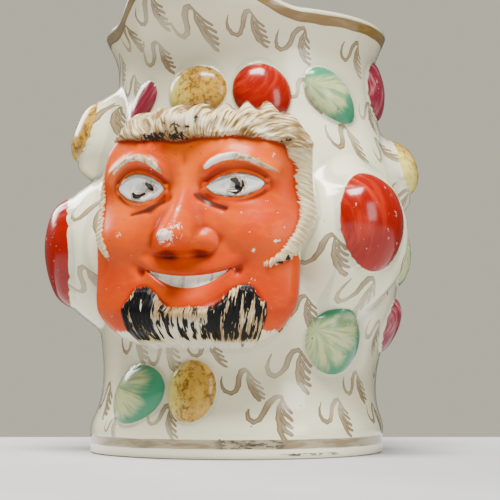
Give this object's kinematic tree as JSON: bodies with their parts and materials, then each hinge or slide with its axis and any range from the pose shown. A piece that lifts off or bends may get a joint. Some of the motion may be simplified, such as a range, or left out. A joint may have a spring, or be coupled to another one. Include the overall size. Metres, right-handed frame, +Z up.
{
  "type": "satyr mask jug",
  "caption": "Press-moulded earthenware jug with a raised satyr mask under its pouring lip, raised fruit round the body and a strap handle at the back",
  "frame": {"origin": "on the flat underside of the foot, straight below the middle of the rim", "axes": "+Z is up, -Y is the way the mask looks and the lip pours, +Y is the handle's side, +X is on the right of someone who faces the mask"},
  "size_m": [0.1218, 0.1574, 0.1544],
  "materials": {
    "glazed_earthenware": "clear lead glaze over a cream body, hand-painted overglaze enamels and brown lustre"
  },
  "bodies": {
    "root": {"pitcher": "glazed_earthenware"}
  },
  "joints": []
}
